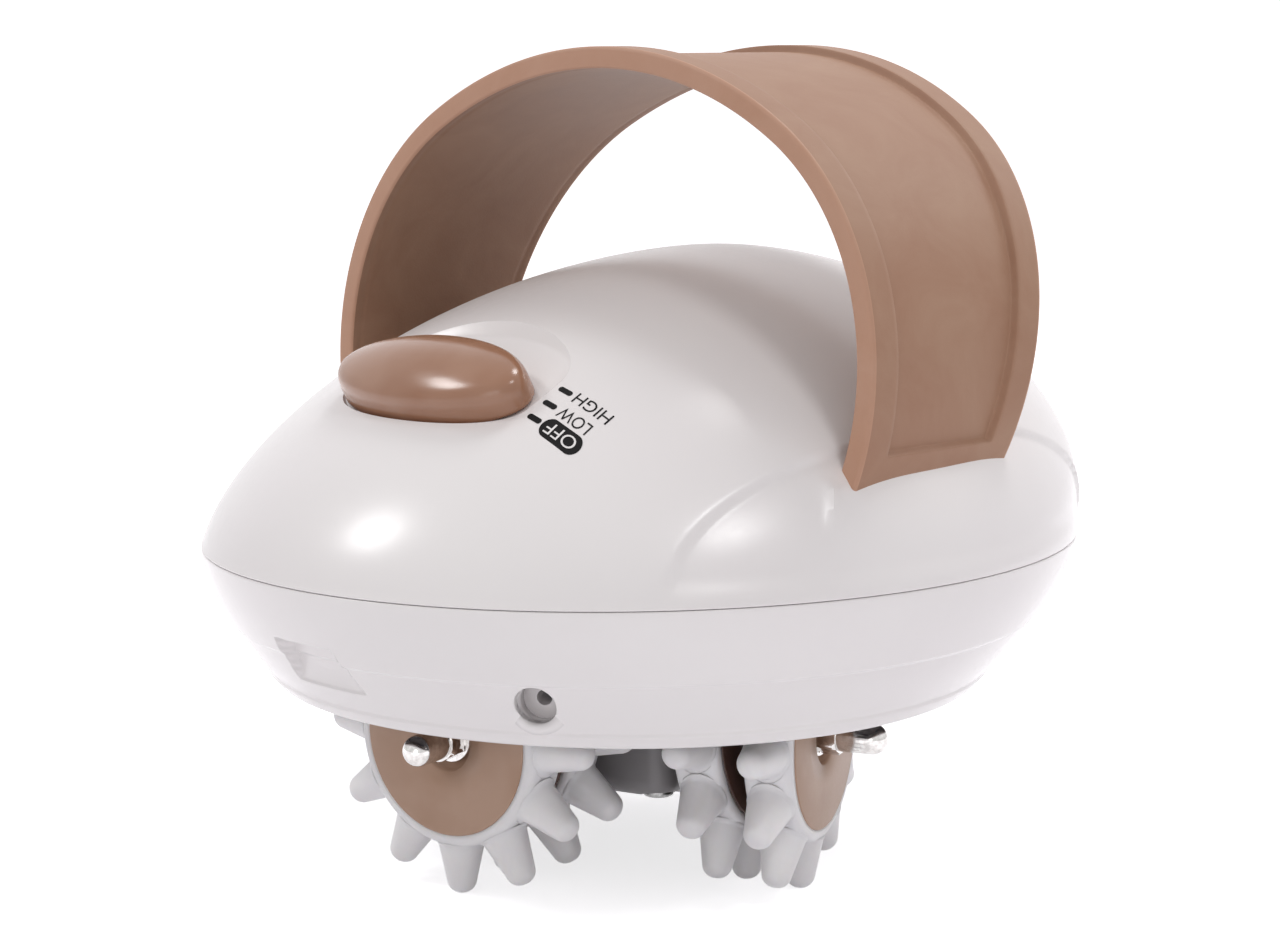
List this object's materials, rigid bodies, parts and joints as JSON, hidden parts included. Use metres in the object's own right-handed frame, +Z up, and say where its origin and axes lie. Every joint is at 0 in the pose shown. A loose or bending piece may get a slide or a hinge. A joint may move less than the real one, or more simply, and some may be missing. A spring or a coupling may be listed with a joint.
{
  "type": "electric roller body massager",
  "caption": "Palm-sized electric roller massager: egg-shaped housing with a hand strap, a slide switch and knobbed rollers driven by a worm gearbox.",
  "frame": {"origin": "on the ground under the middle of the housing, standing on its rollers", "axes": "+Z up, -Y towards the switch end, strap across X"},
  "size_m": [0.144, 0.1612, 0.1399],
  "materials": {
    "shell_plastic": "glossy",
    "brown_plastic": "glossy",
    "strap_rubber": "satin",
    "ring_rubber": "satin",
    "dark_plastic": "matte",
    "steel": "satin",
    "zinc_steel": "satin",
    "board": "matte",
    "magnet": "matte",
    "brass": "satin",
    "gear_plastic": "matte",
    "chrome_nut": "polished"
  },
  "bodies": {
    "housing": {"upper_shell": "shell_plastic", "lower_shell": "shell_plastic", "chassis_plate": "dark_plastic", "handle_strap": "strap_rubber", "strap_pins": "steel", "switch_body": "dark_plastic", "circuit_board": "board", "dc_socket": "shell_plastic", "motor_can": "zinc_steel", "motor_magnets": "magnet", "motor_end_cap": "dark_plastic", "gearbox_upper": "dark_plastic", "gearbox_lower": "dark_plastic", "outer_bushes": "brass", "inner_bushes": "brass", "shell_screws": "steel", "chassis_screws": "steel", "gearbox_screws": "steel", "motor_screws": "steel"},
    "switch_slide": {"slide_button": "brown_plastic", "switch_lever": "dark_plastic"},
    "motor_spindle": {"motor_rotor": "steel", "worm": "brass"},
    "roller_1": {"roller_shaft_1": "steel", "worm_wheel_1": "gear_plastic", "inner_ring_1": "ring_rubber", "outer_ring_1": "ring_rubber", "inner_disc_1": "brown_plastic", "outer_disc_1": "brown_plastic", "spacers_1": "steel", "washer_1": "steel", "cap_nut_1": "chrome_nut"},
    "roller_2": {"roller_shaft_2": "steel", "worm_wheel_2": "gear_plastic", "inner_ring_2": "ring_rubber", "outer_ring_2": "ring_rubber", "inner_disc_2": "brown_plastic", "outer_disc_2": "brown_plastic", "spacers_2": "steel", "washer_2": "steel", "cap_nut_2": "chrome_nut"},
    "roller_3": {"roller_shaft_3": "steel", "worm_wheel_3": "gear_plastic", "inner_ring_3": "ring_rubber", "outer_ring_3": "ring_rubber", "inner_disc_3": "brown_plastic", "outer_disc_3": "brown_plastic", "spacers_3": "steel", "washer_3": "steel", "cap_nut_3": "chrome_nut"},
    "roller_4": {"roller_shaft_4": "steel", "worm_wheel_4": "gear_plastic", "inner_ring_4": "ring_rubber", "outer_ring_4": "ring_rubber", "inner_disc_4": "brown_plastic", "outer_disc_4": "brown_plastic", "spacers_4": "steel", "washer_4": "steel", "cap_nut_4": "chrome_nut"}
  },
  "joints": [
    {"name": "switch_travel", "type": "slide", "parent": "housing", "child": "switch_slide", "axis": [0, 0.8746, 0.4848], "range_m": [0, 0.0076]},
    {"name": "roller_spin_1", "type": "hinge", "parent": "housing", "child": "roller_1", "pos_m": [0.00278, -0.01498, 0.027], "axis": [0.9563, 0.2924, 0], "continuous": true},
    {"name": "roller_spin_2", "type": "hinge", "parent": "housing", "child": "roller_2", "pos_m": [0.00908, -0.00312, 0.027], "axis": [-0.2924, 0.9563, 0], "continuous": true},
    {"name": "roller_spin_3", "type": "hinge", "parent": "housing", "child": "roller_3", "pos_m": [-0.00278, 0.00318, 0.027], "axis": [-0.9563, -0.2924, 0], "continuous": true},
    {"name": "roller_spin_4", "type": "hinge", "parent": "housing", "child": "roller_4", "pos_m": [-0.00908, -0.00868, 0.027], "axis": [0.2924, -0.9563, 0], "continuous": true},
    {"name": "motor_spin", "type": "hinge", "parent": "housing", "child": "motor_spindle", "pos_m": [0, -0.0059, 0.027], "axis": [0, 0, 1], "continuous": true}
  ],
  "couplings": [
    {"joint": "roller_spin_2", "follows": "roller_spin_1", "ratio": 1},
    {"joint": "roller_spin_3", "follows": "roller_spin_1", "ratio": 1},
    {"joint": "roller_spin_4", "follows": "roller_spin_1", "ratio": 1},
    {"joint": "motor_spin", "follows": "roller_spin_1", "ratio": -15}
  ]
}
